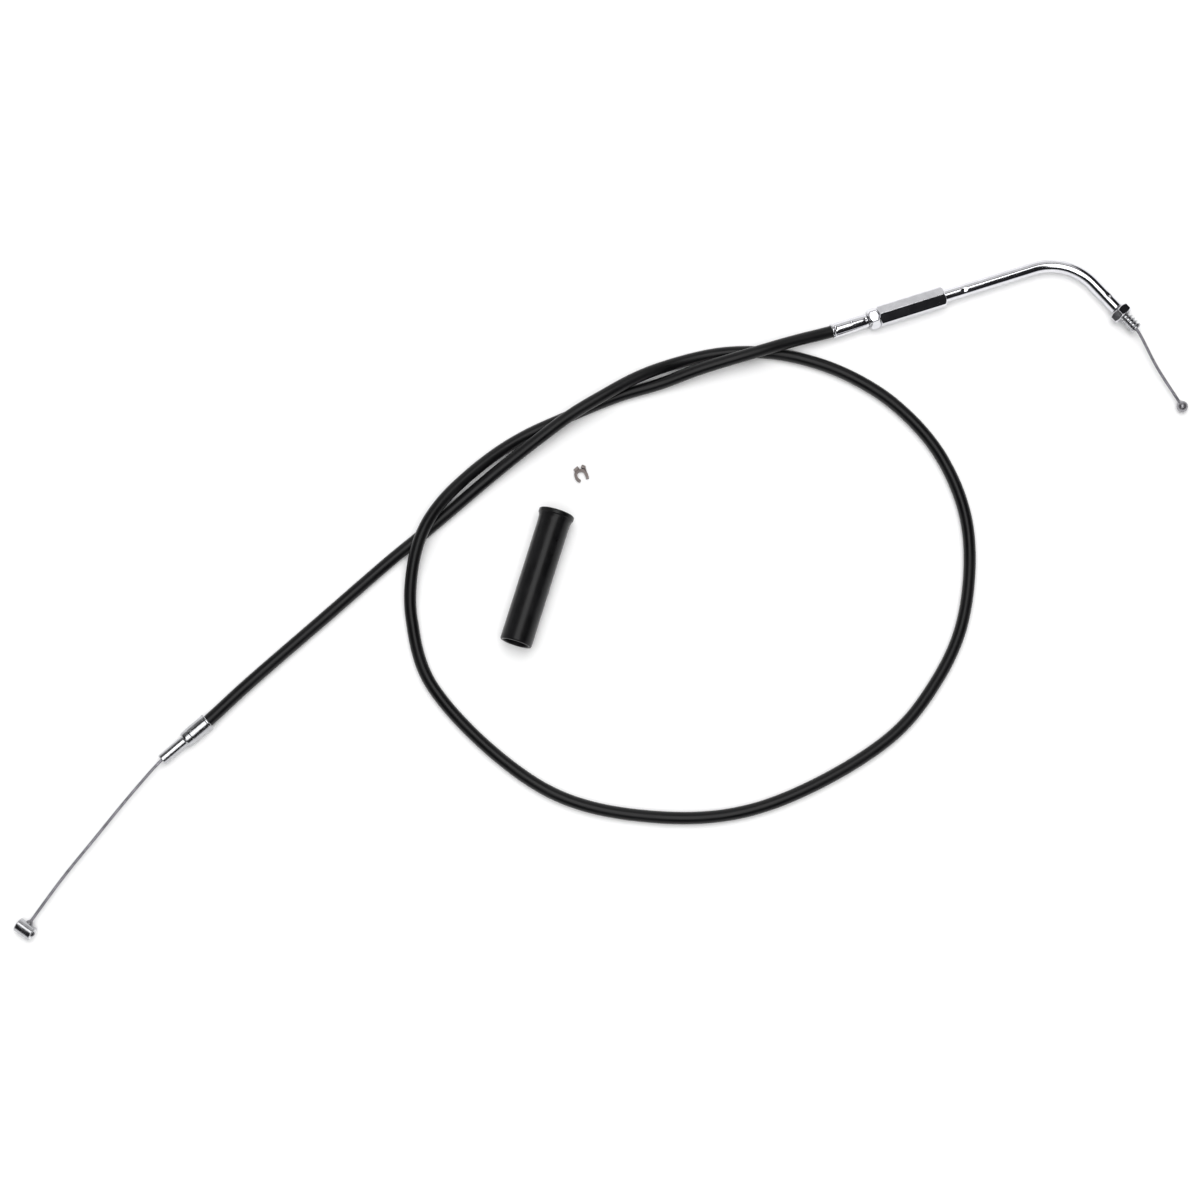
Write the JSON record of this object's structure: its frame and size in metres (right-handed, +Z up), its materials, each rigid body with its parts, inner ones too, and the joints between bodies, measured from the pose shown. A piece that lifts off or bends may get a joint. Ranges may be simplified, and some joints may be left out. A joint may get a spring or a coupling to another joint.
{
  "type": "motorcycle throttle cable",
  "caption": "Sheathed throttle cable with a stepped ferrule, a barrel end, a hexagonal adjuster, a bent metal elbow with a threaded end and a ball end, and a loose rubber sleeve and clip.",
  "frame": {"origin": "on the surface that the cable lies on, below the middle of the whole object's box", "axes": "+X from the barrel end towards the ball end, +Y towards the side of the adjuster and elbow, +Z up"},
  "size_m": [0.4787, 0.2841, 0.0149],
  "materials": {
    "black_vinyl": "glossy",
    "spring_steel": "drawn",
    "white_liner": "matt",
    "steel_wire": "stranded, drawn",
    "zinc": "bright zinc plate",
    "chrome": "bright chrome plate",
    "solder": "dull",
    "black_rubber": "smooth, slightly glossy",
    "clip_steel": "dull, oiled spring steel"
  },
  "bodies": {
    "conduit": {"outer_jacket": "black_vinyl", "conduit_winding": "spring_steel", "conduit_liner": "white_liner", "inner_wire_core": "steel_wire", "carburetor_ferrule": "zinc", "adjuster_ferrule": "chrome", "adjuster_stud": "zinc"},
    "barrel": {"barrel_end": "zinc", "inner_wire_carburetor_end": "steel_wire"},
    "jam_nut": {"jam_nut": "chrome"},
    "elbow": {"elbow_tube": "chrome", "swivel_bush": "zinc", "elbow_liner": "white_liner", "inner_wire_in_elbow": "steel_wire", "threaded_end": "zinc"},
    "adjuster": {"hex_adjuster": "chrome"},
    "lock_nut": {"lock_nut": "chrome"},
    "ball": {"ball_end": "solder", "inner_wire_handlebar_end": "steel_wire"},
    "sleeve": {"adjuster_sleeve": "black_rubber"},
    "clip": {"retaining_clip": "clip_steel"}
  },
  "joints": [
    {"name": "adjuster_travel", "type": "slide", "parent": "conduit", "child": "elbow", "axis": [0.9516, 0.3074, 0], "range_m": [0, 0.01]},
    {"name": "adjuster_turn", "type": "hinge", "parent": "elbow", "child": "adjuster", "pos_m": [0.1255, 0.1217, 0.00465], "axis": [0.9516, 0.3074, 0], "range_deg": [0, 4505]},
    {"name": "jam_nut_turn", "type": "hinge", "parent": "conduit", "child": "jam_nut", "pos_m": [0.10951, 0.11654, 0.00465], "axis": [0.9516, 0.3074, 0], "range_deg": [-360, 0]},
    {"name": "lock_nut_turn", "type": "hinge", "parent": "elbow", "child": "lock_nut", "pos_m": [0.21293, 0.11897, 0.00465], "axis": [0.6613, -0.7501, 0], "range_deg": [0, 360]},
    {"name": "wire_pull", "type": "slide", "parent": "conduit", "child": "barrel", "axis": [-0.6099, -0.7924, -0.007], "range_m": [-0.04, 0.03], "deforming": ["inner_wire_carburetor_end"]},
    {"name": "ball_slide", "type": "slide", "parent": "elbow", "child": "ball", "axis": [0.4845, -0.8727, -0.0607], "range_m": [-0.0301, 0.0401], "deforming": ["inner_wire_handlebar_end"]},
    {"name": "sleeve_lift", "type": "slide", "parent": "conduit", "child": "sleeve", "axis": [0, 0, 1], "range_m": [0, 0.1]},
    {"name": "clip_lift", "type": "slide", "parent": "conduit", "child": "clip", "axis": [0, 0, 1], "range_m": [0, 0.05]}
  ],
  "couplings": [
    {"joint": "adjuster_turn", "follows": "adjuster_travel", "rad_per_m": 7854},
    {"joint": "ball_slide", "follows": "wire_pull", "ratio": -1}
  ]
}
